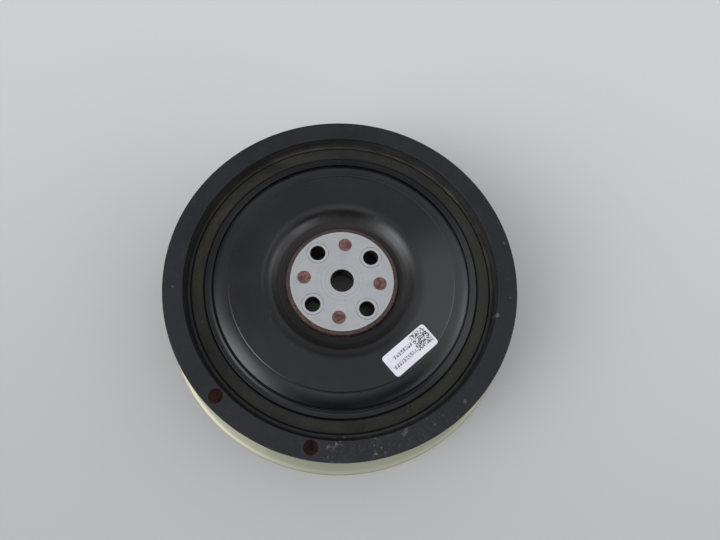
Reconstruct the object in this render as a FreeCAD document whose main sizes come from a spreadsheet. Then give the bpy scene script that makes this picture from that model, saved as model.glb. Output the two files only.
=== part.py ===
# Crankshaft belt pulley with a torsional damper, lying on its engine side.
# Millimetres; +Z runs along the shaft axis towards the front face; the origin is the
# middle of the circle on which the pulley lies.
import FreeCAD, Part
import os
import Sketcher

SHEET = "Sizes"
FULL_TURN = 360.0
RIGHT_ANGLE = 90.0
SAME_PLACE = 1e-4

# Every size that can be set by itself: alias, value in mm or degrees, meaning
SIZES = [
    ("overall_height", 42.0, "lowest edge of the guide flange up to the front face of the damper ring"),

    ("ring_outer_radius", 95.0, "front band of the damper ring, outside"),
    ("front_band_width", 11.0, "front band of the damper ring, along the axis"),
    ("face_width", 10.6, "front face of the damper ring, across"),
    ("ledge_depth", 5.9, "inner edge of the recess floor, beside the rubber, below the face"),
    ("relief_depth", 0.8, "fall of that floor from the rubber to the recess wall"),

    ("track_depth", 4.0, "crests of the belt track, inwards from the front band's outside"),
    ("groove_count", 6, "belt grooves"),
    ("groove_pitch", 3.56, "belt groove to belt groove"),
    ("groove_angle", 40.0, "angle between the flanks of a belt groove"),

    ("drilling_radius", 3.8, "balance drillings"),
    ("drilling_margin", 6.1, "middle of a balance drilling, inwards from the front band's outside"),
    ("drilling_depth", 4.2, "straight part of a balance drilling"),
    ("drill_point_angle", 118.0, "point of the balance drill"),
    ("first_drilling_angle", -130.7, "place of the first balance drilling"),
    ("second_drilling_angle", -95.3, "place of the second balance drilling"),

    ("flange_margin", 1.5, "eye of the guide flange, outwards from the rubber"),
    ("flange_thickness", 2.0, "sheet of the guide flange"),
    ("flange_overhang", 5.5, "guide flange beyond the front band"),
    ("lip_drop", 1.0, "edge of the bent lip below the flat of the guide flange"),
    ("lip_angle", 45.0, "bend of the lip"),

    ("rubber_margin", 13.5, "rubber's outside, inwards from the front band's outside"),
    ("rubber_width", 7.85, "rubber between the hub's rim and the damper ring"),
    ("rubber_depth", 5.5, "front of the rubber, below the face"),
    ("rubber_back_height", 8.0, "back of the rubber above the lowest edge"),
    ("rubber_edge_width", 0.9, "bevelled front edges of the rubber, across"),
    ("rubber_edge_depth", 1.3, "bevelled front edges of the rubber, along the axis"),

    ("rim_width", 6.5, "hub's rim, across"),
    ("rim_depth", 4.5, "front of the hub's rim, below the face"),
    ("rim_back_height", 6.0, "back of the hub's rim above the lowest edge"),
    ("rim_face_width", 3.9, "flat front of the hub's rim, across"),
    ("rim_groove_width", 0.9, "outer flank of the turned groove beside the rim's front, across"),
    ("rim_groove_depth", 0.9, "turned groove below the rim's front"),

    ("dish_width", 8.05, "slope from the web down to the turned groove, across"),
    ("dish_shoulder_width", 4.5, "gentle inner part of that slope, across"),
    ("dish_shoulder_depth", 2.1, "where the slope steepens, below the face"),
    ("web_depth", 0.4, "web of the hub, below the face"),
    ("web_thickness", 8.6, "web of the hub"),
    ("trough_slope_width", 7.0, "slope from the web down into the trough, across"),
    ("trough_mouth_bevel", 1.8, "softened corner between the web and that slope"),
    ("trough_depth", 8.6, "floor of the trough round the boss, below the face"),
    ("trough_floor_width", 2.4, "floor of the trough, across"),

    ("boss_radius", 30.3, "boss at its front edge"),
    ("boss_draft", 1.3, "boss at its foot, beyond its front edge"),
    ("boss_depth", 4.87, "front edge of the boss, below the face"),
    ("shoulder_width", 2.2, "unmachined shoulder between that edge and the front seat"),
    ("shoulder_height", 0.27, "front seat above that edge"),
    ("boss_thickness", 10.9, "front seat to the back seat, which meets the crankshaft"),
    ("back_boss_margin", 6.2, "back of the boss, beyond its front edge"),

    ("bore_radius", 6.42, "centre bore"),
    ("bolt_count", 4, "bolt holes, and the dimples between them"),
    ("bolt_margin", 9.6, "middle of a bolt hole or dimple, inwards from the boss's front edge"),
    ("bolt_hole_radius", 4.2, "bolt holes"),
    ("dimple_radius", 3.65, "dimples"),
    ("dimple_angle", 140.0, "point of the tool that made the dimples"),

    ("label_length", 29.1, "paper label"),
    ("label_width", 13.1, "paper label"),
    ("label_thickness", 0.15, "paper label"),
    ("label_corner_radius", 1.8, "paper label"),
    ("label_inset", 8.1, "middle of the label, inwards from the web's outer edge"),
    ("label_angle", -43.3, "place of the label"),
    ("label_skew", -1.8, "how far the label is out of square"),
]

# Radii and heights that follow from those sizes
RUBBER_OUTSIDE = "( ring_outer_radius - rubber_margin )"
RUBBER_INSIDE = f"( {RUBBER_OUTSIDE} - rubber_width )"
FLANGE_TOP = "( lip_drop + flange_thickness )"
RIM_GROOVE_FOOT = f"( {RUBBER_INSIDE} - rim_face_width - rim_groove_width )"
WEB_OUTSIDE = f"( {RIM_GROOVE_FOOT} - dish_width )"
WEB_FRONT = "( overall_height - web_depth )"
BOSS_EDGE = "( overall_height - boss_depth )"
FRONT_SEAT = f"( {BOSS_EDGE} + shoulder_height )"
BOLT_CIRCLE = "( boss_radius - bolt_margin )"


def size_sheet(document):
    """The spreadsheet that every feature reads its sizes from."""
    sheet = document.addObject("Spreadsheet::Sheet", SHEET)
    for row, (alias, size, meaning) in enumerate(SIZES, start=1):
        sheet.set(f"A{row}", meaning)
        sheet.set(f"B{row}", str(size))
        sheet.setAlias(f"B{row}", alias)
    document.recompute()
    return sheet


doc = FreeCAD.newDocument("belt_pulley")
sizes = size_sheet(doc)
aliases = {alias for alias, _, _ in SIZES}


def cell(text):
    """An expression in which each alias, written as a word by itself, gets the sheet's name."""
    return " ".join(f"{SHEET}.{word}" if word in aliases else word for word in text.split())


def number(text):
    """The present value of such an expression."""
    found = sizes.evalExpression(cell(text))
    return float(getattr(found, "Value", found))


def new_body(label):
    body = doc.addObject("PartDesign::Body", label)
    body.Label = label
    return body


def new_sketch(body, name, role):
    """An empty sketch on one of the body's own origin planes."""
    sketch = body.newObject("Sketcher::SketchObject", name)
    plane = next(plane for plane in body.Origin.OriginFeatures if plane.Role == role)
    sketch.AttachmentSupport = [(plane, "")]
    sketch.MapMode = "FlatFace"
    return sketch


def dimension(sketch, kind, geometry, point, text):
    """Ties one coordinate of a sketch point, counted from the origin, to the sheet."""
    constraint = Sketcher.Constraint(kind, -1, 1, geometry, point, number(text))
    index = sketch.addConstraint(constraint)
    sketch.setExpression(f"Constraints[{index}]", cell(text))


def outline(body, name, corners):
    """A closed outline beside the axis; each corner is (radius, height) as expressions."""
    sketch = new_sketch(body, name, "XZ_Plane")
    points = [FreeCAD.Vector(number(radius), number(height), 0) for radius, height in corners]
    ends = points[1:] + points[:1]
    sketch.addGeometry([Part.LineSegment(start, end) for start, end in zip(points, ends)])
    count = len(points)
    sketch.addConstraint([
        Sketcher.Constraint("Coincident", index, 2, (index + 1) % count, 1) for index in range(count)
    ])
    for index, (radius, height) in enumerate(corners):
        dimension(sketch, "DistanceX", index, 1, radius)
        dimension(sketch, "DistanceY", index, 1, height)
    return sketch


def turned(body, name, corners):
    """A solid of revolution about the shaft axis."""
    sketch = outline(body, f"{name}_outline", corners)
    feature = body.newObject("PartDesign::Revolution", name)
    feature.Profile = sketch
    feature.ReferenceAxis = (sketch, ["V_Axis"])
    feature.Angle = FULL_TURN
    doc.recompute()
    return feature


def cut_round(body, name, sketch, axis):
    """Cuts a sketch out of the body, turned about one of the sketch's axes or lines."""
    before = body.Shape.Volume
    feature = body.newObject("PartDesign::Groove", name)
    feature.Profile = sketch
    feature.ReferenceAxis = (sketch, [axis])
    feature.Angle = FULL_TURN
    doc.recompute()
    if not feature.Shape.Volume < before:
        raise RuntimeError(f"{name} cuts nothing")
    return feature


def bevelled(body, name, base, radius, height, text):
    """Bevels the feature's edge that is a circle about the axis."""
    middle = FreeCAD.Vector(0, 0, number(height))
    names = [
        f"Edge{index}" for index, edge in enumerate(base.Shape.Edges, start=1)
        if isinstance(edge.Curve, Part.Circle)
        and edge.Curve.Center.isEqual(middle, SAME_PLACE)
        and abs(edge.Curve.Radius - number(radius)) < SAME_PLACE
    ]
    if len(names) != 1:
        raise RuntimeError(f"{name}: {len(names)} edges found")
    feature = body.newObject("PartDesign::Chamfer", name)
    feature.Base = (base, names)
    feature.setExpression("Size", cell(text))
    doc.recompute()
    return feature


def drilled(body, name, height, places, radius, depth=None, point_angle=None):
    """Holes from a height downwards: right through, or blind with a conical point.

    Each place is (distance from the axis, angle).
    """
    sketch = new_sketch(body, f"{name}_places", "XY_Plane")
    sketch.AttachmentOffset = FreeCAD.Placement(FreeCAD.Vector(0, 0, number(height)), FreeCAD.Rotation())
    sketch.setExpression(".AttachmentOffset.Base.z", cell(height))
    for distance, angle in places:
        across = f"{distance} * cos( {angle} )"
        along = f"{distance} * sin( {angle} )"
        middle = FreeCAD.Vector(number(across), number(along), 0)
        index = sketch.addGeometry(Part.Circle(middle, FreeCAD.Vector(0, 0, 1), number(radius)))
        dimension(sketch, "DistanceX", index, 3, across)
        dimension(sketch, "DistanceY", index, 3, along)
        size = sketch.addConstraint(Sketcher.Constraint("Radius", index, number(radius)))
        sketch.setExpression(f"Constraints[{size}]", cell(radius))
    doc.recompute()
    before = body.Shape.Volume
    hole = body.newObject("PartDesign::Hole", name)
    hole.Profile = sketch
    hole.setExpression("Diameter", cell(f"2 * {radius}"))
    if depth is None:
        hole.DepthType = "ThroughAll"
    else:
        hole.DepthType = "Dimension"
        hole.setExpression("Depth", cell(depth))
        hole.DrillPoint = "Angled"
        hole.setExpression("DrillPointAngle", cell(point_angle))
    doc.recompute()
    if not hole.Shape.Volume < before:
        raise RuntimeError(f"{name} cuts nothing")
    return hole


def repeated(body, kind, name, feature, sketch, axis, count, length=None):
    """A row of the feature along an axis of its sketch, or a ring of it about that axis."""
    pattern = body.newObject(f"PartDesign::{kind}", name)
    pattern.Originals = [feature]
    if length is None:
        pattern.Axis = (sketch, [axis])
        pattern.Angle = FULL_TURN
    else:
        pattern.Direction = (sketch, [axis])
        pattern.setExpression("Length", cell(length))
    pattern.setExpression("Occurrences", cell(count))
    body.Tip = pattern
    doc.recompute()
    return pattern


def make_damper_ring():
    """Heavy outer ring: front band, belt grooves behind it, back that carries the guide flange."""
    body = new_body("damper_ring")
    crest = "( ring_outer_radius - track_depth )"
    recess = "( ring_outer_radius - face_width )"
    band_back = "( overall_height - front_band_width )"
    ledge = "( overall_height - ledge_depth )"
    turned(body, "ring_blank", [
        (RUBBER_OUTSIDE, FLANGE_TOP),
        (crest, FLANGE_TOP),
        (crest, band_back),
        ("ring_outer_radius", band_back),
        ("ring_outer_radius", "overall_height"),
        (recess, "overall_height"),
        (recess, f"{ledge} - relief_depth"),
        (RUBBER_OUTSIDE, ledge),
    ])

    # The grooves are centred between the guide flange and the front band, and a groove's
    # flanks meet those of its neighbours at the crests
    slope = "tan( groove_angle / 2 )"
    root = f"( {crest} - groove_pitch / 2 / {slope} )"
    half_mouth = f"( ( ring_outer_radius - {root} ) * {slope} )"
    first = f"( {FLANGE_TOP} + {band_back} - ( groove_count - 1 ) * groove_pitch ) / 2"
    flanks = outline(body, "groove_outline", [
        (root, first),
        ("ring_outer_radius", f"{first} - {half_mouth}"),
        ("ring_outer_radius", f"{first} + {half_mouth}"),
    ])
    groove = cut_round(body, "belt_groove", flanks, "V_Axis")
    row = "( groove_count - 1 ) * groove_pitch"
    repeated(body, "LinearPattern", "belt_grooves", groove, flanks, "V_Axis", "groove_count", row)

    drilled(body, "balance_drillings", "overall_height", [
        ("( ring_outer_radius - drilling_margin )", "first_drilling_angle"),
        ("( ring_outer_radius - drilling_margin )", "second_drilling_angle"),
    ], "drilling_radius", "drilling_depth", "drill_point_angle")
    return body


def make_guide_flange():
    """Stamped sheet ring behind the belt grooves, its lip bent away from the belt."""
    body = new_body("guide_flange")
    eye = f"{RUBBER_OUTSIDE} + flange_margin"
    outside = "( ring_outer_radius + flange_overhang )"
    lip_top = "flange_thickness * cos( lip_angle )"
    outer_bend = f"{outside} - ( {FLANGE_TOP} - {lip_top} ) / tan( lip_angle )"
    lip_foot = f"( {outside} - flange_thickness * sin( lip_angle ) )"
    inner_bend = f"{lip_foot} - lip_drop / tan( lip_angle )"
    turned(body, "flange_sheet", [
        (eye, "lip_drop"),
        (inner_bend, "lip_drop"),
        (lip_foot, "0"),
        (outside, lip_top),
        (outer_bend, FLANGE_TOP),
        (eye, FLANGE_TOP),
    ])
    return body


def make_rubber_ring():
    """Rubber ring bonded between the hub's rim and the damper ring."""
    body = new_body("rubber_ring")
    front = "( overall_height - rubber_depth )"
    turned(body, "rubber", [
        (RUBBER_INSIDE, "rubber_back_height"),
        (RUBBER_OUTSIDE, "rubber_back_height"),
        (RUBBER_OUTSIDE, f"{front} - rubber_edge_depth"),
        (f"{RUBBER_OUTSIDE} - rubber_edge_width", front),
        (f"{RUBBER_INSIDE} + rubber_edge_width", front),
        (RUBBER_INSIDE, f"{front} - rubber_edge_depth"),
    ])
    return body


def make_hub():
    """Formed and machined hub: boss with its seats, trough, web, dish and rim."""
    body = new_body("hub")
    back_seat = f"{FRONT_SEAT} - boss_thickness"
    boss_back = "boss_radius + back_boss_margin"
    boss_foot = "( boss_radius + boss_draft )"
    trough = "overall_height - trough_depth"
    trough_edge = f"( {boss_foot} + trough_floor_width )"
    web_inside = f"( {trough_edge} + trough_slope_width )"
    web_back = f"{WEB_FRONT} - web_thickness"
    rim_inside = f"{RUBBER_INSIDE} - rim_width"
    rim_front = "( overall_height - rim_depth )"
    blank = turned(body, "hub_blank", [
        ("bore_radius", back_seat),
        (boss_back, back_seat),
        (boss_back, web_back),
        (rim_inside, web_back),
        (rim_inside, "rim_back_height"),
        (RUBBER_INSIDE, "rim_back_height"),
        (RUBBER_INSIDE, rim_front),
        (f"{RUBBER_INSIDE} - rim_face_width", rim_front),
        (RIM_GROOVE_FOOT, f"{rim_front} - rim_groove_depth"),
        (f"{WEB_OUTSIDE} + dish_shoulder_width", "overall_height - dish_shoulder_depth"),
        (WEB_OUTSIDE, WEB_FRONT),
        (web_inside, WEB_FRONT),
        (trough_edge, trough),
        (boss_foot, trough),
        ("boss_radius", BOSS_EDGE),
        ("boss_radius - shoulder_width", FRONT_SEAT),
        ("bore_radius", FRONT_SEAT),
    ])
    bevelled(body, "trough_mouth", blank, web_inside, WEB_FRONT, "trough_mouth_bevel")

    between = f"{FULL_TURN / 2} / bolt_count"
    hole = drilled(body, "bolt_hole", FRONT_SEAT, [(BOLT_CIRCLE, between)], "bolt_hole_radius")
    repeated(body, "PolarPattern", "bolt_holes", hole, hole.Profile[0], "N_Axis", "bolt_count")

    point = outline(body, "dimple_outline", [
        (BOLT_CIRCLE, FRONT_SEAT),
        (BOLT_CIRCLE, f"{FRONT_SEAT} - dimple_radius / tan( dimple_angle / 2 )"),
        (f"{BOLT_CIRCLE} + dimple_radius", FRONT_SEAT),
    ])
    dimple = cut_round(body, "dimple", point, "Edge1")
    repeated(body, "PolarPattern", "dimples", dimple, point, "V_Axis", "bolt_count")
    return body


def make_label():
    """Paper label stuck on the web."""
    body = new_body("label")
    sketch = new_sketch(body, "label_outline", "XY_Plane")
    half_length = number("label_length / 2")
    half_width = number("label_width / 2")
    corners = [
        FreeCAD.Vector(-half_length, -half_width, 0),
        FreeCAD.Vector(half_length, -half_width, 0),
        FreeCAD.Vector(half_length, half_width, 0),
        FreeCAD.Vector(-half_length, half_width, 0),
    ]
    ends = corners[1:] + corners[:1]
    sketch.addGeometry([Part.LineSegment(start, end) for start, end in zip(corners, ends)])
    sketch.addConstraint([Sketcher.Constraint("Coincident", i, 2, (i + 1) % 4, 1) for i in range(4)])
    sketch.addConstraint([
        Sketcher.Constraint("Horizontal", 0),
        Sketcher.Constraint("Vertical", 1),
        Sketcher.Constraint("Horizontal", 2),
        Sketcher.Constraint("Vertical", 3),
    ])
    dimension(sketch, "DistanceX", 2, 1, "label_length / 2")
    dimension(sketch, "DistanceY", 2, 1, "label_width / 2")
    for kind, text in (("DistanceX", "label_length"), ("DistanceY", "label_width")):
        index = sketch.addConstraint(Sketcher.Constraint(kind, 0, 1, 2, 1, number(text)))
        sketch.setExpression(f"Constraints[{index}]", cell(text))
    pad = body.newObject("PartDesign::Pad", "label_paper")
    pad.Profile = sketch
    pad.setExpression("Length", cell("label_thickness"))
    doc.recompute()
    upright = [
        f"Edge{index}" for index, edge in enumerate(pad.Shape.Edges, start=1)
        if abs(edge.Vertexes[0].Point.z - edge.Vertexes[1].Point.z) > number("label_thickness") / 2
    ]
    rounding = body.newObject("PartDesign::Fillet", "label_corners")
    rounding.Base = (pad, upright)
    rounding.setExpression("Radius", cell("label_corner_radius"))
    place = f"( {WEB_OUTSIDE} - label_inset )"
    body.setExpression(".Placement.Base.x", cell(f"{place} * cos( label_angle )"))
    body.setExpression(".Placement.Base.y", cell(f"{place} * sin( label_angle )"))
    body.setExpression(".Placement.Base.z", cell(WEB_FRONT))
    body.setExpression(".Placement.Rotation.Angle", cell(f"label_angle + label_skew + {RIGHT_ANGLE}"))
    doc.recompute()
    return body


def check_and_export(bodies):
    """Refuses a failed feature or a bad solid, then writes one file for each piece."""
    doc.recompute()
    for item in doc.Objects:
        if "Invalid" in item.State or "Error" in item.State:
            raise RuntimeError(f"{item.Name} failed: {item.State}")
    for body in bodies:
        shape = body.Shape
        if shape.isNull() or not shape.isValid() or len(shape.Solids) != 1:
            raise RuntimeError(f"{body.Label} has no single valid solid")
    os.makedirs("parts", exist_ok=True)
    for body in bodies:
        body.Shape.exportStep(f"parts/{body.Label}.step")
        print(f"{body.Label}: {body.Shape.Volume / 1000:.1f} cm3, {len(body.Shape.Faces)} faces")


check_and_export([
    make_damper_ring(),
    make_guide_flange(),
    make_rubber_ring(),
    make_hub(),
    make_label(),
])
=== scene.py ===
"""Looks of a crankshaft belt pulley with a torsional damper, face up on a pale floor.

The frame is in metres with +Z along the shaft; profiles and textures are in millimetres.
"""
import math

import bmesh
import bpy
from mathutils import Matrix, Vector


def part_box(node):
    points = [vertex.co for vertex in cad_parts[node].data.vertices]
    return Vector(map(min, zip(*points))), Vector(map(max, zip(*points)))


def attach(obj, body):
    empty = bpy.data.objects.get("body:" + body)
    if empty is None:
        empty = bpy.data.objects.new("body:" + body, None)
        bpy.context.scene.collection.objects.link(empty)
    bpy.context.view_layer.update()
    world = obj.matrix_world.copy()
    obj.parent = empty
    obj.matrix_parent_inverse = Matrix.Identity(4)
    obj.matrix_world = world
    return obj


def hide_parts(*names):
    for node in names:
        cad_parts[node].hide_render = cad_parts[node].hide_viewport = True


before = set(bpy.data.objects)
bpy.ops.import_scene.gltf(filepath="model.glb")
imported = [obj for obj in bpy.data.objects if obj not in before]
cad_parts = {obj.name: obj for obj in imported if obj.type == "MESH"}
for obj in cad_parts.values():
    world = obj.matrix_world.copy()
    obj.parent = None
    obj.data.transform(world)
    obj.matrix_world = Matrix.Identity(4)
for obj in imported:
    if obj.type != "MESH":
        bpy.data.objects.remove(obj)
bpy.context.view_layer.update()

MM = 0.001
SEGMENTS = 288          # round the large circles
HOLE_SEGMENTS = 48      # round the holes, dimples and drillings
ARC_STEPS = 5           # along each rounded corner of a profile
LARGE_ROUNDING = 3      # from this radius on, a rounding has three times as many steps
SHARP = math.radians(32)
STRAIGHT = math.radians(89.5)
ROUNDED_SHARE = 0.98    # the most of a straight run that its two roundings take up

# The photograph's camera, in millimetres and as a frame of unit vectors
CAMERA_PLACE = Vector((-0.535, -103.69, 361.85))
CAMERA_RIGHT = Vector((0.99583, 0.07289, 0.05487))
CAMERA_UP = Vector((-0.08665, 0.94384, 0.31882))
CAMERA_LENS = 31.34
CAMERA_SENSOR = 36.0


def top(node):
    """Height of a CAD node's highest point."""
    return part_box(node)[1].z / MM


def outer_radius(node):
    """Radius of a CAD node that is round about the shaft."""
    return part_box(node)[1].x / MM


FACE = top("damper_ring")
RING_OUTSIDE = outer_radius("damper_ring")
RUBBER_OUTSIDE = outer_radius("rubber_ring")
RUBBER_FRONT = top("rubber_ring")
HUB_OUTSIDE = outer_radius("hub")
WEB_FRONT = top("hub")
FLANGE_OUTSIDE = outer_radius("guide_flange")
FLANGE_TOP = top("guide_flange")

# The damper ring
BAND_BACK = FACE - 11
RECESS_RADIUS = RING_OUTSIDE - 10.6
CREST_RADIUS = RING_OUTSIDE - 4
GROOVE_COUNT = 6
GROOVE_PITCH = 3.56
GROOVE_DEPTH = GROOVE_PITCH / 2 / math.tan(math.radians(20))      # sharp V of 40 degrees
DRILLING_RADIUS = 3.8
DRILLING_DEPTH = 4.2
DRILLING_CIRCLE = RING_OUTSIDE - 6.1
DRILLING_ANGLES = (-130.7, -95.3)

# The rubber and the hub
RUBBER_BACK = 8.0
RIM_FRONT = FACE - 4.5
RIM_BACK = 6.0
RIM_INSIDE = 67.15
WEB_RADIUS = 60.5
WEB_BACK = WEB_FRONT - 8.6
BOSS_RADIUS = 30.3
SEAT = FACE - 4.6
SEAT_RADIUS = 28.1
BACK_SEAT = SEAT - 10.9
BACK_SEAT_RADIUS = 36.5
BORE_RADIUS = 6.42
BOLT_CIRCLE = 20.7
BOLT_HOLE_RADIUS = 4.2
DIMPLE_RADIUS = 3.65
BOLT_ANGLES = (45, 135, 225, 315)
DIMPLE_ANGLES = (0, 90, 180, 270)
HEAD_RADIUS = 5.95      # rings that the screw heads have left on the seat
TOOL_RADIUS = 11.3      # ring that a tool has left round the bore

# Heights between which the masks of all that faces backwards, and of the front side, set in
ABOVE_BACK = (25, 26)
ABOVE_MIDDLE = (30, 31)

# The middle of the label and the turn of its long side
LABEL_RADIUS = 52.7
LABEL_ANGLE = -43.3
LABEL_TURN = 44.9


# ---------------------------------------------------------------- shapes

def rounded(corners):
    """The points of a closed profile of (radius, height, rounding) corners."""
    places = [Vector(corner[:2]) for corner in corners]
    count = len(corners)
    reaches = []
    for index, (_, _, rounding) in enumerate(corners):
        before = places[index - 1] - places[index]
        after = places[(index + 1) % count] - places[index]
        half = before.angle(after) / 2
        reaches.append(0.0 if half > STRAIGHT else rounding / math.tan(half))
    points = []
    for index, corner in enumerate(places):
        before = places[index - 1] - corner
        after = places[(index + 1) % count] - corner
        reach = reaches[index]
        if reach <= 0:
            points.append(corner)
            continue
        half = before.angle(after) / 2
        reach *= min(1.0, ROUNDED_SHARE * before.length / (reach + reaches[index - 1]),
                     ROUNDED_SHARE * after.length / (reach + reaches[(index + 1) % count]))
        size = reach * math.tan(half)
        before.normalize()
        after.normalize()
        middle = corner + (before + after).normalized() * size / math.sin(half)
        start = corner + before * reach - middle
        end = corner + after * reach - middle
        turn = start.angle_signed(end)
        steps = ARC_STEPS if size < LARGE_ROUNDING else 3 * ARC_STEPS
        for step in range(steps + 1):
            points.append(middle + Matrix.Rotation(-turn * step / steps, 2) @ start)
    return points


def with_margins(points, margin=0.12):
    """Adds a point near each end of a long straight run, so that flat faces shade flat."""
    kept = []
    for index, point in enumerate(points):
        following = points[(index + 1) % len(points)]
        run = following - point
        kept.append(point)
        if run.length > 6 * margin:
            kept += [point + run.normalized() * margin, following - run.normalized() * margin]
    return kept


def turned_mesh(name, corners, segments, centre=(0.0, 0.0)):
    """A mesh turned from a closed profile about an upright line through centre."""
    mesh = bmesh.new()
    rings = []
    for point in with_margins(rounded(corners)):
        if point.x < 1e-6:
            rings.append([mesh.verts.new((centre[0] * MM, centre[1] * MM, point.y * MM))] * segments)
            continue
        rings.append([
            mesh.verts.new((
                (centre[0] + point.x * math.cos(math.tau * step / segments)) * MM,
                (centre[1] + point.x * math.sin(math.tau * step / segments)) * MM,
                point.y * MM,
            )) for step in range(segments)
        ])
    for index, ring in enumerate(rings):
        following = rings[(index + 1) % len(rings)]
        for step in range(segments):
            onward = (step + 1) % segments
            around = [ring[step], ring[onward], following[onward], following[step]]
            around = [v for place, v in enumerate(around) if v not in around[:place]]
            if len(around) > 2:
                mesh.faces.new(around)
    bmesh.ops.recalc_face_normals(mesh, faces=mesh.faces)
    data = bpy.data.meshes.new(name)
    mesh.to_mesh(data)
    mesh.free()
    return data


def new_object(name, data):
    """An object in the scene, in metres."""
    item = bpy.data.objects.new(name, data)
    bpy.context.scene.collection.objects.link(item)
    return item


def polar(radius, angle):
    """The place at that distance from the shaft and that angle in degrees."""
    return radius * math.cos(math.radians(angle)), radius * math.sin(math.radians(angle))


def piece(name, node, corners, cutters=()):
    """A turned piece, cut by small turned cutters, that stands for a CAD node."""
    item = new_object(name, turned_mesh(name, corners, SEGMENTS))
    if cutters:
        tools = bmesh.new()
        for place, profile in cutters:
            tool = turned_mesh(f"{name}_cutter", profile, HOLE_SEGMENTS, place)
            tools.from_mesh(tool)
            bpy.data.meshes.remove(tool)
        data = bpy.data.meshes.new(f"{name}_cutters")
        tools.to_mesh(data)
        tools.free()
        cutter = new_object(f"{name}_cutters", data)
        cut = item.modifiers.new("cut", "BOOLEAN")
        cut.operation = "DIFFERENCE"
        cut.solver = "EXACT"
        cut.object = cutter
        bpy.context.view_layer.update()
        whole = item.data
        evaluated = item.evaluated_get(bpy.context.evaluated_depsgraph_get())
        item.data = bpy.data.meshes.new_from_object(evaluated)
        item.modifiers.clear()
        bpy.data.meshes.remove(whole)
        bpy.data.objects.remove(cutter)
        bpy.data.meshes.remove(data)
    item.data.name = name
    for polygon in item.data.polygons:
        polygon.use_smooth = True
    item.data.set_sharp_from_angle(angle=SHARP)
    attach(item, "root")
    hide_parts(node)
    return item


def hub_profile():
    """Round the hub from its bore along the back to the rim, and over the front back to the bore."""
    return [
        (BORE_RADIUS, BACK_SEAT, 0.3),
        (BACK_SEAT_RADIUS, BACK_SEAT, 0.6),
        (BACK_SEAT_RADIUS, WEB_BACK, 1.5),
        (RIM_INSIDE, WEB_BACK, 3.0),
        (RIM_INSIDE, RIM_BACK, 0.5),
        (HUB_OUTSIDE, RIM_BACK, 0.5),
        (HUB_OUTSIDE, RIM_FRONT, 0.45),
        # The crowned front of the rim and the turned groove beside it
        (71.3, RIM_FRONT, 1.5),
        (69.85, RIM_FRONT + 0.6, 0.25),
        (69.45, RIM_FRONT - 0.7, 0.2),
        (69.1, RIM_FRONT - 0.7, 0.2),
        # The dish, the crease and the flat web
        (68.7, RIM_FRONT + 0.95, 0.25),
        (64.9, WEB_FRONT - 0.87, 24.0),
        (61.6, WEB_FRONT - 0.15, 0.3),
        (61.1, WEB_FRONT - 0.42, 0.25),
        (WEB_RADIUS, WEB_FRONT, 0.4),
        # The trough and the boss
        (40.6, WEB_FRONT, 9.0),
        (34.4, FACE - 7.3, 2.6),
        (31.3, FACE - 7.7, 0.8),
        (BOSS_RADIUS, FACE - 4.87, 0.5),
        (SEAT_RADIUS, SEAT, 0.15),
        (BORE_RADIUS, SEAT, 0.25),
    ]


def hub_cutters():
    """Bolt holes right through, with broken edges, and the dimples between them."""
    above = SEAT + 1
    below = SEAT - 12
    broken_edge = 0.3
    hole = [
        (0, above, 0), (BOLT_HOLE_RADIUS + broken_edge + 1, above, 0),
        (BOLT_HOLE_RADIUS, SEAT - broken_edge, 0), (BOLT_HOLE_RADIUS, below, 0), (0, below, 0),
    ]
    slope = math.tan(math.radians(20))      # of the blunt tool that made the dimples
    dimple = [
        (0, SEAT - DIMPLE_RADIUS * slope, 0),
        (DIMPLE_RADIUS + 1 / slope, above, 0),
        (0, above, 0),
    ]
    return [(polar(BOLT_CIRCLE, angle), hole) for angle in BOLT_ANGLES] + [
        (polar(BOLT_CIRCLE, angle), dimple) for angle in DIMPLE_ANGLES
    ]


def ring_profile():
    """Up the belt track, over the front band, and down the recess to the rubber."""
    first = (FLANGE_TOP + BAND_BACK - (GROOVE_COUNT - 1) * GROOVE_PITCH) / 2
    grooves = [(CREST_RADIUS, first - GROOVE_PITCH / 2, 0.35)]
    for index in range(GROOVE_COUNT):
        grooves += [
            (CREST_RADIUS - GROOVE_DEPTH, first + index * GROOVE_PITCH, 0.4),
            (CREST_RADIUS, first + (index + 0.5) * GROOVE_PITCH, 0.35),
        ]
    return [
        (RUBBER_OUTSIDE, FLANGE_TOP, 0.3),
        (CREST_RADIUS, FLANGE_TOP, 0),
        *grooves,
        (CREST_RADIUS, BAND_BACK, 0.6),
        (RING_OUTSIDE, BAND_BACK, 0.4),
        (RING_OUTSIDE, FACE, 0.5),
        (RECESS_RADIUS, FACE, 0.4),
        (RECESS_RADIUS, FACE - 6.7, 0.15),
        (RUBBER_OUTSIDE + 1.3, FACE - 6.0, 0.2),
        (RUBBER_OUTSIDE, FACE - 5.9, 0.15),
    ]


def ring_cutters():
    """The two balance drillings, with broken edges and the drill's point."""
    broken_edge = 0.2
    point = DRILLING_RADIUS / math.tan(math.radians(59))      # of a 118 degree drill
    drilling = [
        (0, FACE + 1, 0), (DRILLING_RADIUS + broken_edge + 1, FACE + 1, 0),
        (DRILLING_RADIUS, FACE - broken_edge, 0), (DRILLING_RADIUS, FACE - DRILLING_DEPTH, 0),
        (0, FACE - DRILLING_DEPTH - point, 0),
    ]
    return [(polar(DRILLING_CIRCLE, angle), drilling) for angle in DRILLING_ANGLES]


def flange_profile():
    """A flat sheet with its edge bent down to the ground."""
    eye = RUBBER_OUTSIDE + 1.5
    return [
        (eye, 1.0, 0.3),
        (98.09, 1.0, 1.0),
        (99.09, 0.0, 0.25),
        (FLANGE_OUTSIDE, 1.41, 0.35),
        (98.91, FLANGE_TOP, 2.2),
        (eye, FLANGE_TOP, 0.3),
    ]


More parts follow.
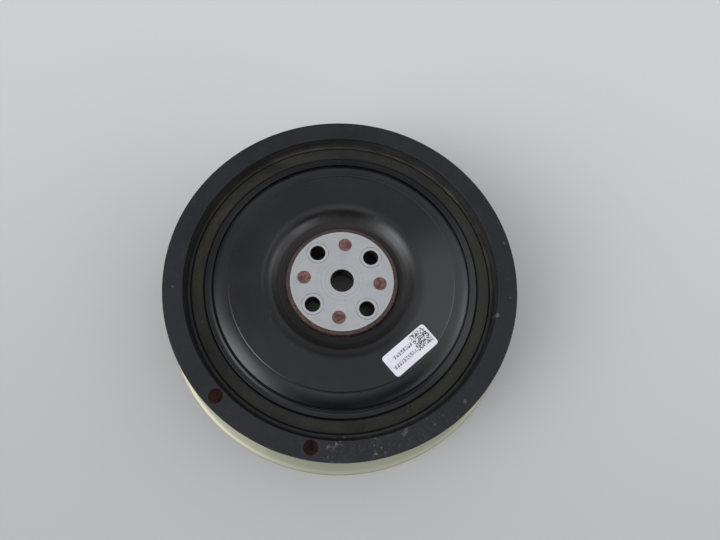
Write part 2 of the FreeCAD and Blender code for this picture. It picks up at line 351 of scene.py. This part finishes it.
def rubber_profile():
    """A ring with bevelled front edges, bonded to the hub inside and the damper ring outside."""
    return [
        (HUB_OUTSIDE, RUBBER_BACK, 0.6),
        (RUBBER_OUTSIDE, RUBBER_BACK, 0.6),
        (RUBBER_OUTSIDE, RUBBER_FRONT - 1.3, 0.3),
        (RUBBER_OUTSIDE - 0.9, RUBBER_FRONT, 0.6),
        (HUB_OUTSIDE + 0.9, RUBBER_FRONT, 0.6),
        (HUB_OUTSIDE, RUBBER_FRONT - 1.3, 0.3),
    ]


ring = piece("ring_look", "damper_ring", ring_profile(), ring_cutters())
flange = piece("flange_look", "guide_flange", flange_profile())
rubber = piece("rubber_look", "rubber_ring", rubber_profile())
hub = piece("hub_look", "hub", hub_profile(), hub_cutters())
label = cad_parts["label"]


# ---------------------------------------------------------------- materials

class Graph:
    """Short calls for the nodes of one tree."""

    def __init__(self, tree):
        self.tree = tree

    def node(self, kind, **settings):
        made = self.tree.nodes.new(f"ShaderNode{kind}")
        for name, value in settings.items():
            setattr(made, name, value)
        return made

    def put(self, socket, value):
        """Links a socket's value, or sets it where it is a plain number or colour."""
        if isinstance(value, bpy.types.NodeSocket):
            self.tree.links.new(value, socket)
        elif isinstance(value, tuple) and socket.type == "RGBA":
            socket.default_value = (*value, 1.0)
        else:
            socket.default_value = value

    def math(self, operation, *values):
        node = self.node("Math", operation=operation)
        for socket, value in zip(node.inputs, values):
            self.put(socket, value)
        return node.outputs[0]

    def product(self, first, *others):
        for other in others:
            first = self.math("MULTIPLY", first, other)
        return first

    def total(self, first, *others):
        for other in others:
            first = self.math("ADD", first, other)
        return first

    def most(self, first, *others):
        for other in others:
            first = self.math("MAXIMUM", first, other)
        return first

    def length(self, x, y):
        return self.math("SQRT", self.total(self.product(x, x), self.product(y, y)))

    def between(self, value, low, high, start=0.0, end=1.0):
        """Runs smoothly from start, where value is low, to end, where it is high."""
        node = self.node("MapRange", interpolation_type="SMOOTHSTEP")
        for name, number in (("Value", value), ("From Min", low), ("From Max", high),
                             ("To Min", start), ("To Max", end)):
            self.put(node.inputs[name], number)
        return node.outputs["Result"]

    def fade(self, value, low, high):
        """1 where value is low, 0 where it is high."""
        return self.between(value, low, high, 1.0, 0.0)

    def peak(self, value, middle, width):
        """1 where value is middle, falling to 0 at width to either side."""
        return self.fade(self.math("ABSOLUTE", self.math("SUBTRACT", value, middle)), 0.0, width)

    def mix(self, factor, first, second):
        """A colour between two colours."""
        node = self.node("Mix", data_type="RGBA")
        for index, value in ((0, factor), (6, first), (7, second)):
            self.put(node.inputs[index], value)
        return node.outputs[2]

    def layers(self, colour, *over):
        """Colours laid one over the other, each with its mask."""
        for mask, upper in over:
            colour = self.mix(mask, colour, upper)
        return colour

    def blend(self, factor, first, second):
        """A number between two numbers."""
        node = self.node("Mix")
        for index, value in ((0, factor), (2, first), (3, second)):
            self.put(node.inputs[index], value)
        return node.outputs[0]


class Finish(Graph):
    """A material's graph, in millimetres of the frame."""

    def __init__(self, name, **constants):
        self.material = bpy.data.materials.new(name)
        self.material.use_nodes = True
        super().__init__(self.material.node_tree)
        self.shader = self.tree.nodes["Principled BSDF"]
        for socket, value in constants.items():
            self.shader.inputs[socket.replace("_", " ")].default_value = value
        scaled = self.node("VectorMath", operation="SCALE")
        scaled.inputs["Scale"].default_value = 1 / MM
        self.put(scaled.inputs[0], self.node("TexCoord").outputs["Object"])
        self.place = scaled.outputs[0]
        parts = self.node("SeparateXYZ")
        self.put(parts.inputs[0], self.place)
        self.x, self.y, self.z = parts.outputs
        self.radius = self.length(self.x, self.y)
        self.angle = self.math("DEGREES", self.math("ARCTAN2", self.y, self.x))

    def vector(self, x, y, z):
        node = self.node("CombineXYZ")
        for socket, value in zip(node.inputs, (x, y, z)):
            self.put(socket, value)
        return node.outputs[0]

    def noise(self, scale, detail=2.0, seed=0.0, at=None):
        """Noise round 0.5; scale is in features per millimetre."""
        node = self.node("TexNoise", noise_dimensions="4D")
        for name, value in (("Vector", at or self.place), ("W", seed), ("Scale", scale),
                            ("Detail", detail), ("Roughness", 0.6)):
            self.put(node.inputs[name], value)
        return node.outputs["Fac"]

    def rings(self, scale, seed=0.0):
        """Noise that changes along the radius only, as turning marks do."""
        return self.noise(scale, 3.0, seed, self.vector(self.radius, 0.0, self.z))

    def specks(self, spacing, size, share, seed=0.0):
        """1 in small spots of about that size, at a share of the places of a random grid."""
        shifted = self.node("VectorMath", operation="ADD")
        self.put(shifted.inputs[0], self.place)
        shifted.inputs[1].default_value = (seed, seed, seed)
        cells = self.node("TexVoronoi")
        self.put(cells.inputs["Vector"], shifted.outputs[0])
        self.put(cells.inputs["Scale"], 1 / spacing)
        parts = self.node("SeparateColor")
        self.put(parts.inputs[0], cells.outputs["Color"])
        reach = self.product(size / spacing, self.total(0.4, self.product(1.2, parts.outputs[1])))
        spot = self.math("LESS_THAN", parts.outputs[0], share)
        distance = self.math("DIVIDE", cells.outputs["Distance"], reach)
        return self.product(spot, self.fade(distance, 0.5, 1.0))

    def away(self, x, y):
        """Distance from an upright line."""
        return self.length(self.math("SUBTRACT", self.x, x), self.math("SUBTRACT", self.y, y))

    def nearest(self, radius, angles):
        """Distance from the nearest of the upright lines at those angles."""
        distances = [self.away(*polar(radius, angle)) for angle in angles]
        result = distances[0]
        for distance in distances[1:]:
            result = self.math("MINIMUM", result, distance)
        return result

    def sector(self, middle, width):
        """1 at an angle about the shaft, falling to 0 at width degrees to either side."""
        turned = self.math("WRAP", self.math("SUBTRACT", self.angle, middle), 180.0, -180.0)
        return self.fade(self.math("ABSOLUTE", turned), 0.3 * width, width)

    def bump(self, height):
        """Bump from a height in millimetres."""
        node = self.node("Bump")
        self.put(node.inputs["Height"], height)
        node.inputs["Distance"].default_value = MM
        self.put(self.shader.inputs["Normal"], node.outputs[0])

    def finish(self, colour, roughness, metallic=0.0):
        self.put(self.shader.inputs["Base Color"], colour)
        self.put(self.shader.inputs["Roughness"], roughness)
        self.put(self.shader.inputs["Metallic"], metallic)
        return self.material


# Scraped spots on the front band: x, y, size, strength
FACE_MARKS = [(84.1, -13.5, 1.4, 0.55), (87.9, 28.2, 1.0, 0.35), (-88.5, -13.0, 0.9, 0.35),
              (67.5, -60.2, 1.1, 0.5), (91.0, -3.0, 0.9, 0.3)]


def coated_iron():
    """Blue-black dip coat: scuffed front band, dusty recess with a painted highlight on its ledge, rusty
    drillings, belt-worn ribs.
    """
    f = Finish("coated_iron", IOR=1.39)
    broad = f.noise(0.035, 4)
    fine = f.noise(0.7, 4, seed=3)
    coat = f.mix(f.between(broad, 0.35, 0.65), (0.0055, 0.0062, 0.009), (0.010, 0.0108, 0.0145))
    coat = f.layers(
        coat,
        # Dull patches, rust spots towards the left, pale specks
        (f.product(0.5, f.between(f.noise(0.25, 4, seed=8), 0.52, 0.75)), (0.022, 0.021, 0.021)),
        (f.product(f.specks(2.4, 0.35, 0.35, 11), f.between(f.x, -20, -70)), (0.055, 0.026, 0.024)),
        (f.product(0.4, f.specks(2.6, 0.30, 0.12, 5)), (0.08, 0.08, 0.09)),
    )

    # Grey scuffs and spots, mostly on the lower right of the front band
    scuffed = f.sector(-72, 34)
    spots = f.most(
        f.product(0.6, f.specks(2.0, 0.5, 0.5, 2), f.between(f.noise(0.2, 2, seed=4), 0.48, 0.62)),
        f.product(f.between(f.noise(0.42, 5, seed=6), 0.56, 0.70),
                  f.between(f.noise(0.09, 2, seed=8), 0.42, 0.58)),
    )
    ragged = f.product(1.6, f.noise(0.9, 3))
    marks = f.most(*(
        f.product(strength, f.fade(f.total(f.away(x, y), ragged), size, size + 0.9))
        for x, y, size, strength in FACE_MARKS
    ))
    coat = f.layers(
        coat,
        (f.product(0.75, scuffed, spots), (0.16, 0.16, 0.18)),
        (f.product(0.25, scuffed, f.between(f.noise(0.5, 4, seed=9), 0.5, 0.7)), (0.06, 0.06, 0.07)),
        (f.product(0.8, marks), (0.22, 0.18, 0.16)),
    )

    # Dust and brown grease in the recess, and a painted highlight along its ledge at the upper right
    inside = f.product(f.fade(f.radius, RECESS_RADIUS - 0.1, RECESS_RADIUS + 0.1),
                       f.fade(f.z, FACE - 1.7, FACE - 0.9), f.between(f.z, *ABOVE_BACK),
                       f.blend(f.sector(75, 130), 0.25, 1.0))
    streaks = f.noise(0.12, 3, 5, f.vector(f.product(0.7, f.angle), f.product(5.0, f.z), 0.0))
    recess_dust_and_highlight = f.mix(f.between(streaks, 0.35, 0.7), (0.026, 0.024, 0.020), (0.058, 0.052, 0.042))
    # Painted highlight: a light arc low in the recess at the upper right
    ledge_highlight = f.product(0.7, f.sector(45, 42), f.fade(f.z, FACE - 6.2, FACE - 4.6),
                       f.between(streaks, 0.30, 0.75))
    recess_dust_and_highlight = f.mix(ledge_highlight, recess_dust_and_highlight, (0.11, 0.10, 0.085))

    # Bare rusty iron in the balance drillings
    drilling = f.nearest(DRILLING_CIRCLE, DRILLING_ANGLES)
    drilled = f.product(f.fade(drilling, DRILLING_RADIUS + 0.1, DRILLING_RADIUS + 0.3),
                        f.between(f.z, 34, 35))
    mottled = f.noise(0.28, 3, seed=12)
    rust = f.mix(f.between(mottled, 0.4, 0.62), (0.030, 0.015, 0.012), (0.085, 0.033, 0.025))

    # The belt polishes the flanks and leaves the roots of the ribs brown
    track = f.product(f.fade(f.radius, CREST_RADIUS + 0.3, CREST_RADIUS + 0.6),
                      f.between(f.radius, 85.5, 85.8), f.between(f.z, 5.0, 5.6), f.fade(f.z, 28.0, 28.6))
    worn = f.product(track, f.between(f.radius, 86.8, 88.2))
    flank = f.mix(f.between(f.noise(0.3, 3, seed=20), 0.4, 0.6), (0.10, 0.10, 0.105), (0.17, 0.17, 0.175))

    colour = f.layers(coat, (inside, recess_dust_and_highlight), (track, (0.032, 0.022, 0.018)), (worn, flank), (drilled, rust))
    roughness = f.between(fine, 0.3, 0.7, 0.40, 0.52)
    roughness = f.blend(f.most(inside, drilled), roughness, 0.8)
    f.bump(f.total(f.product(0.02, fine), f.product(0.25, drilled, mottled)))
    return f.finish(colour, f.blend(worn, roughness, 0.35), f.product(0.8, worn))


def passivated_steel():
    """Pale yellow passivated sheet, darker in front, with fine streaks, a brown lip that also carries painted
    shade, a painted dark line at its outer edge and painted shade near the ground.
    """
    f = Finish("passivated_steel")
    broad = f.noise(0.05, 3)
    lines = f.rings(2.2, 1)
    rim = f.between(f.radius, 98.6, 100.2)
    sheet = f.mix(f.between(broad, 0.38, 0.62), (0.62, 0.64, 0.45), (0.67, 0.67, 0.50))
    lip = f.mix(f.between(lines, 0.40, 0.60), (0.42, 0.33, 0.25), (0.52, 0.47, 0.36))
    grime = f.between(f.noise(0.22, 4, seed=2), 0.56, 0.75)
    outermost = f.between(f.radius, FLANGE_OUTSIDE - 0.45, FLANGE_OUTSIDE - 0.2)
    colour = f.layers(
        sheet,
        # The brown streaked lip, darker also as painted shade on the bent lip
        (f.product(0.8, rim), lip),
        # The darker front, grime, specks, and painted shade: a dark brown line at the outermost edge and
        # darkening near the ground
        (f.product(0.72, f.sector(-70, 66)), (0.29, 0.30, 0.225)),
        (f.product(0.45, grime), (0.40, 0.36, 0.28)),
        (f.product(0.5, f.specks(3.0, 0.3, 0.25, 3)), (0.25, 0.22, 0.16)),
        (f.product(0.8, outermost), (0.12, 0.065, 0.05)),
        (f.product(0.6, f.fade(f.z, 0.2, 1.2)), (0.30, 0.24, 0.19)),
    )
    f.bump(f.total(f.product(0.03, lines), f.product(0.02, f.noise(1.2, 2))))
    return f.finish(colour, f.between(broad, 0.3, 0.7, 0.42, 0.55), 0.15)


def moulded_rubber():
    """Dull rubber with a film of olive and brown dust over its middle, darker towards both edges."""
    f = Finish("moulded_rubber", IOR=1.4)
    along = f.noise(0.10, 4, 2, f.vector(f.product(0.8, f.angle), f.product(1.6, f.radius), f.z))
    broad = f.noise(0.022, 2, seed=6)
    fine = f.noise(1.1, 3)
    middle = f.product(f.between(f.radius, HUB_OUTSIDE + 0.6, HUB_OUTSIDE + 1.8),
                       f.fade(f.radius, RUBBER_OUTSIDE - 1.6, RUBBER_OUTSIDE - 0.4))
    dusty = f.mix(f.between(broad, 0.4, 0.6), (0.009, 0.009, 0.006), (0.016, 0.0165, 0.0115))
    dusty = f.layers(
        dusty,
        # Olive patches, more dust at the right, brown at the upper left, pale specks
        (f.product(0.6, f.between(along, 0.42, 0.62)), (0.024, 0.024, 0.015)),
        (f.product(0.6, f.sector(5, 60)), (0.034, 0.035, 0.026)),
        (f.product(0.6, f.sector(150, 50), f.between(along, 0.4, 0.65)), (0.044, 0.034, 0.022)),
        (f.product(0.6, f.specks(2.5, 0.35, 0.3, 4)), (0.09, 0.085, 0.07)),
    )
    f.bump(f.total(f.product(0.06, fine), f.product(0.15, along)))
    return f.finish(f.mix(middle, (0.010, 0.010, 0.009), dusty), f.between(fine, 0.3, 0.7, 0.68, 0.85))


def coated_steel():
    """Black half-gloss coat; the seats are machined bare, with rust round them and in the dimples."""
    f = Finish("coated_steel", IOR=1.44)
    broad = f.noise(0.03, 3)
    fine = f.noise(0.8, 4, seed=2)
    coat = f.mix(f.between(broad, 0.35, 0.65), (0.0045, 0.0045, 0.0055), (0.008, 0.008, 0.0085))
    haze = f.noise(0.045, 3, 7, f.vector(f.product(0.4, f.angle), f.radius, 0.0))
    coat = f.layers(
        coat,
        # A film of dust, a painted sheen on the right of the web, pale specks, brown patches
        (f.product(0.5, f.between(haze, 0.5, 0.75)), (0.018, 0.017, 0.016)),
        # Painted sheen: lighter grey over the right of the web and outwards from it, standing in for a broad
        # reflection
        (f.product(0.85, f.sector(-4, 50), f.between(f.radius, 38, 47)), (0.036, 0.037, 0.038)),
        (f.product(0.30, f.specks(3.6, 0.28, 0.2, 9)), (0.09, 0.09, 0.09)),
        (f.product(0.5, f.between(f.noise(0.16, 4, seed=14), 0.62, 0.75)), (0.03, 0.029, 0.026)),
    )

    # Grease and rust creep from the bare seat over the shoulder and down into the trough; the trough's
    # lighter grey is painted light
    creep = f.product(2.6, f.noise(0.35, 4, seed=5))
    shoulder = f.fade(f.total(f.radius, creep), BOSS_RADIUS - 0.1, BOSS_RADIUS + 3.3)
    front = f.between(f.z, *ABOVE_MIDDLE)
    trough = f.product(front, f.fade(f.radius, 34.0, 40.5))
    stronger = f.most(f.sector(-115, 80), f.product(0.5, f.sector(20, 70)))
    mottled = f.noise(0.7, 4, seed=12)
    rust = f.mix(f.between(mottled, 0.40, 0.62), (0.032, 0.020, 0.017), (0.098, 0.048, 0.038))
    colour = f.layers(
        coat,
        # Painted light: the trough's grey is lighter towards the back, where its slopes catch more light
        (trough, f.mix(f.between(f.y, -28, 2), (0.021, 0.020, 0.019), (0.034, 0.031, 0.030))),
        (f.product(front, shoulder, f.blend(stronger, 0.60, 1.0)), rust),
    )

    # The machined seats: turning marks, rings that the screw heads and a tool have left
    bolt = f.nearest(BOLT_CIRCLE, BOLT_ANGLES)
    dimple = f.nearest(BOLT_CIRCLE, DIMPLE_ANGLES)
    in_dimple = f.fade(dimple, DIMPLE_RADIUS - 0.12, DIMPLE_RADIUS + 0.12)
    seat = f.product(f.fade(f.radius, SEAT_RADIUS, SEAT_RADIUS + 0.12),
                     f.between(f.z, SEAT - 0.45, SEAT - 0.30))
    back = f.product(f.fade(f.z, BACK_SEAT + 0.2, BACK_SEAT + 0.4), f.between(f.z, *ABOVE_BACK),
                     f.fade(f.radius, BACK_SEAT_RADIUS - 0.2, BACK_SEAT_RADIUS))
    turning = f.rings(3.2, 2)
    stain = f.noise(0.10, 3, seed=16)
    steel = f.mix(f.between(turning, 0.35, 0.65), (0.375, 0.385, 0.395), (0.415, 0.425, 0.435))
    edge = f.noise(0.5, 3, seed=17)
    tool_ring = f.peak(f.radius, TOOL_RADIUS, 0.35)
    steel = f.layers(
        steel,
        # Greenish and warm stains
        (f.product(0.35, f.between(stain, 0.45, 0.7)), (0.36, 0.385, 0.36)),
        (f.product(0.45, f.between(f.noise(0.13, 3, seed=18), 0.48, 0.66)), (0.445, 0.43, 0.405)),
        # Bright and dark rings round the bolt holes
        (f.product(0.55, f.fade(bolt, 5.2, 5.6), f.between(bolt, 4.2, 4.5)), (0.47, 0.475, 0.48)),
        (f.product(0.85, f.peak(bolt, HEAD_RADIUS, 0.38), f.between(edge, 0.30, 0.55)), (0.14, 0.15, 0.15)),
        (f.product(0.40, f.peak(bolt, 6.6, 0.4)), (0.47, 0.47, 0.47)),
        # Rings round the bore
        (f.product(0.55, tool_ring, f.between(edge, 0.35, 0.6)), (0.27, 0.28, 0.29)),
        (f.product(0.45, f.peak(f.radius, 9.4, 0.4)), (0.30, 0.31, 0.32)),
        (f.product(0.45, f.peak(f.radius, 10.4, 0.8)), (0.45, 0.455, 0.47)),
        (f.product(0.35, f.peak(f.radius, 13.0, 0.5)), (0.45, 0.45, 0.45)),
        # The seat's bright edge, and grime at the mouths of holes and dimples
        (f.product(0.6, f.between(f.radius, SEAT_RADIUS - 0.7, SEAT_RADIUS)), (0.50, 0.49, 0.47)),
        (f.product(0.6, f.fade(bolt, 4.25, 4.55), f.between(edge, 0.3, 0.6)), (0.20, 0.20, 0.20)),
        (f.product(0.30, f.fade(dimple, 3.7, 4.9)), (0.33, 0.32, 0.30)),
    )
    bare = f.most(seat, back)
    colour = f.mix(bare, colour, steel)

    # Rusty dimples with painted shade round their rims, and dark tool-marked walls in the holes
    pit = f.product(in_dimple, front)
    spotted = f.between(f.noise(0.55, 4, seed=19), 0.40, 0.62)
    pits = f.mix(spotted, (0.105, 0.050, 0.043), (0.215, 0.115, 0.098))
    # Painted shade: a darker ring at the rim of each dimple
    pits = f.mix(f.product(0.55, f.between(dimple, 2.9, 3.6)), pits, (0.065, 0.035, 0.032))
    wall = f.product(f.fade(f.z, SEAT - 0.55, SEAT - 0.30), f.between(f.z, BACK_SEAT + 0.1, BACK_SEAT + 0.4),
                     f.fade(f.radius, SEAT_RADIUS - 1.1, SEAT_RADIUS - 0.7))
    thread = f.noise(1.0, 2, 21, f.vector(f.product(0.1, f.x), f.product(0.1, f.y), f.product(1.3, f.z)))
    walls = f.mix(f.between(thread, 0.46, 0.58), (0.010, 0.010, 0.010), (0.070, 0.050, 0.036))
    colour = f.layers(colour, (wall, walls), (pit, pits))

    # The coat is glossy, the seats are satin, rust is dull
    rough = f.between(fine, 0.3, 0.7, 0.14, 0.22)
    rough = f.blend(f.product(front, f.most(f.product(0.6, trough), shoulder)), rough, 0.55)
    rough = f.blend(bare, rough, f.between(turning, 0.3, 0.7, 0.42, 0.55))
    rough = f.blend(f.most(pit, wall), rough, 0.85)

    # Grease dulls the trough; the rim and the left of the web shine less than the rest
    grimy = f.product(front, f.fade(f.radius, 33.4, 35.6), f.fade(f.z, SEAT - 0.45, SEAT - 0.35))
    duller = f.most(
        f.product(f.between(f.radius, 69.3, 69.8), f.between(f.y, -45, -5)),
        f.product(0.8, f.between(f.radius, 71.2, 71.8)),
        f.product(0.6, f.sector(180, 50), f.between(f.radius, 42, 56)),
    )
    f.put(f.shader.inputs["Specular IOR Level"], f.blend(grimy, f.blend(duller, 0.5, 0.32), 0.12))
    metallic = f.product(0.25, bare, f.math("SUBTRACT", 1.0, f.most(pit, wall)))
    f.bump(f.total(
        f.product(0.006, fine), f.product(0.02, bare, turning),
        f.product(-0.05, f.peak(bolt, HEAD_RADIUS, 0.34), bare),
        f.product(-0.04, tool_ring, bare),
        f.product(0.12, f.most(pit, f.product(front, shoulder)), mottled),
        f.product(0.3, wall, thread),
    ))
    return f.finish(colour, rough, metallic)


def printed_paper():
    """White label with a block of random cells and two rows of random strokes: nothing to read."""
    f = Finish("printed_paper")
    x, y = polar(LABEL_RADIUS, LABEL_ANGLE)
    cosine, sine = polar(1.0, LABEL_TURN)
    right, up = f.math("SUBTRACT", f.x, x), f.math("SUBTRACT", f.y, y)
    along = f.total(f.product(cosine, right), f.product(sine, up))
    across = f.total(f.product(-sine, right), f.product(cosine, up))

    def area(start, end, lower, upper):
        """1 in a box on the label, in millimetres from its middle."""
        sides = (("GREATER_THAN", along, start), ("LESS_THAN", along, end),
                 ("GREATER_THAN", across, lower), ("LESS_THAN", across, upper))
        return f.product(1.0, *(f.math(*side) for side in sides))

    def cells(width, height, threshold):
        """1 in some cells, drawn at random, of a grid over the label."""
        grid = f.vector(f.math("FLOOR", f.product(along, 1 / width)),
                        f.math("FLOOR", f.product(across, 1 / height)), 0.0)
        drawn = f.node("TexWhiteNoise", noise_dimensions="2D")
        f.put(drawn.inputs["Vector"], grid)
        return f.math("GREATER_THAN", drawn.outputs["Value"], threshold)

    block = f.product(area(3.5, 13.4, -3.6, 5.6), cells(0.47, 0.47, 0.5))
    letter = f.math("FRACT", f.product(along, 1 / 1.56))
    letters = f.product(f.math("LESS_THAN", f.math("ABSOLUTE", f.math("SUBTRACT", letter, 0.5)), 0.37),
                        cells(0.39, 0.52, 0.36))
    rows = f.most(area(-9.6, 2.9, 1.1, 3.15), area(-12.8, 2.9, -3.05, -1.0))
    paper = f.mix(f.between(f.noise(0.15, 3), 0.35, 0.65), (0.71, 0.71, 0.77), (0.79, 0.79, 0.84))
    colour = f.layers(
        paper,
        # Soiled spots and a pinkish lower edge under the print
        (f.product(0.5, f.between(f.noise(0.9, 4, seed=2), 0.58, 0.75)), (0.50, 0.48, 0.50)),
        (f.product(0.7, f.fade(across, -5.5, -1.0)), (0.79, 0.74, 0.77)),
        (f.product(0.9, rows, letters), (0.09, 0.09, 0.11)),
        (f.product(0.93, block), (0.035, 0.035, 0.045)),
    )
    f.bump(f.product(0.01, f.noise(2.5, 2)))
    return f.finish(colour, f.between(f.noise(1.5, 2), 0.3, 0.7, 0.45, 0.6))


def dress(item, material):
    """Gives an object its only material."""
    item.data.materials.clear()
    item.data.materials.append(material)


dress(ring, coated_iron())
dress(flange, passivated_steel())
dress(rubber, moulded_rubber())
dress(hub, coated_steel())
dress(label, printed_paper())


# ---------------------------------------------------------------- floor, light and camera

FLOOR_REACH = 3.0       # metres from the middle of the floor to its edges

# An even sky with soft lights and dark gaps: azimuth, elevation and width in degrees, strength
SKY_COLOUR = (0.98, 1.0, 1.035)
SKY = 0.74
GLOWS = [(-150, 20, 23, 4.4), (-153, 46, 12, 1.3), (-38, 15, 14, 2.6), (4, 16, 16, 1.7), (35, 68, 9, 0.7),
         (-90, 78, 15, 0.6)]
GAPS = [(-91, 14, 23, 0.995), (-89, 36, 24, 0.995), (-46, 42, 14, 0.9), (160, 2, 18, 0.85), (90, 8, 36, 0.35),
        (90, 48, 16, 0.5)]


def make_floor():
    """A plain floor with painted shade: darker in front than behind the part."""
    floor = new_object("floor", bpy.data.meshes.new("floor"))
    mesh = bmesh.new()
    bmesh.ops.create_grid(mesh, x_segments=4, y_segments=4, size=FLOOR_REACH)
    mesh.to_mesh(floor.data)
    mesh.free()
    f = Finish("floor")
    away = f.total(f.y, f.product(60, f.noise(0.002, 2)))
    # Painted shade: darker towards the front
    colour = f.mix(f.between(away, -260, 240), (0.48, 0.473, 0.465), (0.655, 0.645, 0.635))
    dress(floor, f.finish(colour, 0.9))


def make_light():
    """One plain studio sky: the dark gaps and soft lights give the coat its reflections."""
    world = bpy.data.worlds.new("studio")
    world.use_nodes = True
    bpy.context.scene.world = world
    g = Graph(world.node_tree)
    direction = g.node("TexCoord").outputs["Generated"]

    def lobe(azimuth, elevation, width):
        """A soft round spot of the sky: 1 in its middle."""
        tilt = math.radians(elevation)
        x, y = polar(math.cos(tilt), azimuth)
        dot = g.node("VectorMath", operation="DOT_PRODUCT")
        g.put(dot.inputs[0], direction)
        dot.inputs[1].default_value = (x, y, math.sin(tilt))
        fall = g.product(g.math("SUBTRACT", dot.outputs["Value"], 1.0), 2 / math.radians(width) ** 2)
        return g.math("EXPONENT", fall)

    light = SKY
    for azimuth, elevation, width, strength in GLOWS:
        light = g.total(g.product(strength, lobe(azimuth, elevation, width)), light)
    for azimuth, elevation, width, depth in GAPS:
        light = g.product(light, g.math("SUBTRACT", 1.0, g.product(depth, lobe(azimuth, elevation, width))))
    background = world.node_tree.nodes["Background"]
    g.put(background.inputs["Color"], SKY_COLOUR)
    g.put(background.inputs["Strength"], light)


def make_camera():
    """The camera of the photograph."""
    camera = bpy.data.cameras.new("camera")
    camera.sensor_fit = "HORIZONTAL"
    camera.sensor_width = CAMERA_SENSOR
    camera.lens = CAMERA_LENS
    camera.clip_start = 0.01
    camera.clip_end = 20
    item = new_object("camera", camera)
    right = CAMERA_RIGHT.normalized()
    up = (CAMERA_UP - right * CAMERA_UP.dot(right)).normalized()
    back = right.cross(up)
    turn = Matrix((right, up, back)).transposed().to_4x4()
    item.matrix_world = Matrix.Translation(CAMERA_PLACE * MM) @ turn
    bpy.context.scene.camera = item


make_floor()
make_light()
make_camera()
bpy.context.scene.view_settings.view_transform = "Standard"
